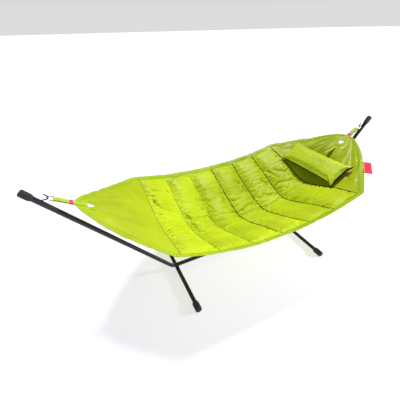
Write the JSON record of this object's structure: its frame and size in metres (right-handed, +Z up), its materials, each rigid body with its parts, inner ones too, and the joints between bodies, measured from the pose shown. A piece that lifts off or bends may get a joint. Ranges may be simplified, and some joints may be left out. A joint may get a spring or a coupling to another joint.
{
  "type": "hammock on stand",
  "caption": "Padded hammock with a pillow, hung by webbing straps and rings between the hooked arms of a free-standing tube frame on crosswise legs with rubber feet.",
  "frame": {"origin": "centre of the base, on the floor", "axes": "+X along the hammock from its foot end to its head end, +Y across it, +Z up"},
  "size_m": [3.333, 1.36, 1.2125],
  "materials": {
    "frame_paint": "satin powder coat, near black",
    "spigot_steel": "plain drawn tube",
    "fastener_steel": "zinc plated",
    "rubber": "matt, finely knurled",
    "ring_nickel": "nickel plated wire",
    "panel_fabric": "coated polyester, satin",
    "quilt_fabric": "padded polyester, satin",
    "hem_fabric": "folded polyester, stitched",
    "webbing": "woven webbing",
    "pink_webbing": "woven band",
    "label_fabric": "woven label, blank",
    "pillow_fabric": "filled polyester, satin"
  },
  "bodies": {
    "stand": {"centre_beam": "frame_paint", "left_elbow": "frame_paint", "right_elbow": "frame_paint", "left_arm": "frame_paint", "right_arm": "frame_paint", "left_beam_spigot": "spigot_steel", "right_beam_spigot": "spigot_steel", "left_arm_spigot": "spigot_steel", "right_arm_spigot": "spigot_steel", "joint_screws": "fastener_steel", "left_leg": "frame_paint", "right_leg": "frame_paint", "left_saddle": "frame_paint", "right_saddle": "frame_paint", "leg_bolts": "fastener_steel", "weld_nuts": "fastener_steel", "left_near_foot": "rubber", "left_far_foot": "rubber", "right_near_foot": "rubber", "right_far_foot": "rubber", "left_arm_cap": "rubber", "right_arm_cap": "rubber", "left_hook": "frame_paint", "right_hook": "frame_paint"},
    "hammock": {"foot_panel": "panel_fabric", "head_panel": "panel_fabric", "channel_1": "quilt_fabric", "channel_2": "quilt_fabric", "channel_3": "quilt_fabric", "channel_4": "quilt_fabric", "channel_5": "quilt_fabric", "channel_6": "quilt_fabric", "near_side_hem": "hem_fabric", "far_side_hem": "hem_fabric", "foot_near_hem": "hem_fabric", "foot_far_hem": "hem_fabric", "head_near_hem": "hem_fabric", "head_far_hem": "hem_fabric", "foot_strap": "webbing", "head_strap": "webbing", "foot_ring": "ring_nickel", "head_ring": "ring_nickel", "foot_keeper": "pink_webbing", "head_keeper": "pink_webbing", "foot_patch": "panel_fabric", "head_patch": "panel_fabric", "side_label": "label_fabric", "pillow_tether": "webbing"},
    "pillow": {"pillow": "pillow_fabric", "pillow_tag": "pink_webbing"}
  },
  "joints": [
    {"name": "hammock_swing", "type": "hinge", "parent": "stand", "child": "hammock", "pos_m": [0, 0, 1.12113], "axis": [1, 0, 0], "range_deg": [-30, 30]},
    {"name": "pillow_flip", "type": "hinge", "parent": "hammock", "child": "pillow", "pos_m": [1.05555, 0, 0.89939], "axis": [0, 1, 0], "range_deg": [0, 90]}
  ]
}
